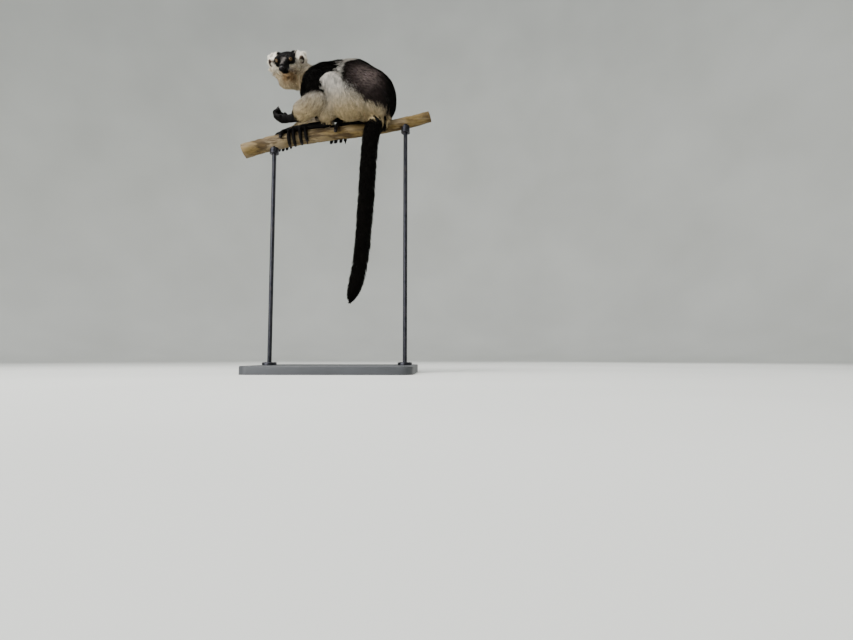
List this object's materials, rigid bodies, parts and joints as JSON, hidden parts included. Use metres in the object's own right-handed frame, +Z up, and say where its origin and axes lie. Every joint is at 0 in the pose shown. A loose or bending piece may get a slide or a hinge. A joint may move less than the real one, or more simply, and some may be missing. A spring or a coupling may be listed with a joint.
{
  "type": "black-and-white ruffed lemur on a perch",
  "caption": "Still life-size ruffed lemur crouched on a cut branch, tail hanging, head turned to its left, on a plain two-rod display stand",
  "frame": {"origin": "middle of the underside of the stand base", "axes": "+Z up; the animal faces -X along the perch; its left side is -Y"},
  "size_m": [0.5506, 0.32, 0.9259],
  "materials": {
    "coat_white": "long soft off-white hair, cream to tan on the throat and underside",
    "coat_dark": "long soft black hair, brown-black on the thigh",
    "skin": "black bare skin with short hair, creased on the digits",
    "eye": "amber iris under a clear wet cornea",
    "bark": "light grey-brown bark, sawn pale ends",
    "steel": "blackened steel rod, satin",
    "stand": "dark grey painted board with eased edges"
  },
  "bodies": {
    "root": {"chest": "coat_dark", "ear_left": "skin", "ear_right": "skin", "eye_left": "eye", "eye_right": "eye", "foot_left": "skin", "foot_right": "skin", "forearm_left": "coat_white", "forearm_right": "coat_white", "hand_left": "skin", "hand_right": "skin", "head": "coat_dark", "loin": "coat_white", "lower_jaw": "coat_white", "neck": "coat_dark", "nose": "skin", "perch_branch": "bark", "ruff": "coat_white", "rump": "coat_dark", "shin_left": "coat_white", "shin_right": "coat_white", "stand_base": "stand", "stand_collar_front": "steel", "stand_collar_rear": "steel", "stand_flange_front": "steel", "stand_flange_rear": "steel", "stand_rod_front": "steel", "stand_rod_rear": "steel", "tail_1": "coat_dark", "tail_2": "coat_dark", "tail_3": "coat_dark", "tail_4": "coat_dark", "tail_5": "coat_dark", "thigh_left": "coat_dark", "thigh_right": "coat_dark", "upper_arm_left": "coat_dark", "upper_arm_right": "coat_dark"}
  },
  "joints": []
}
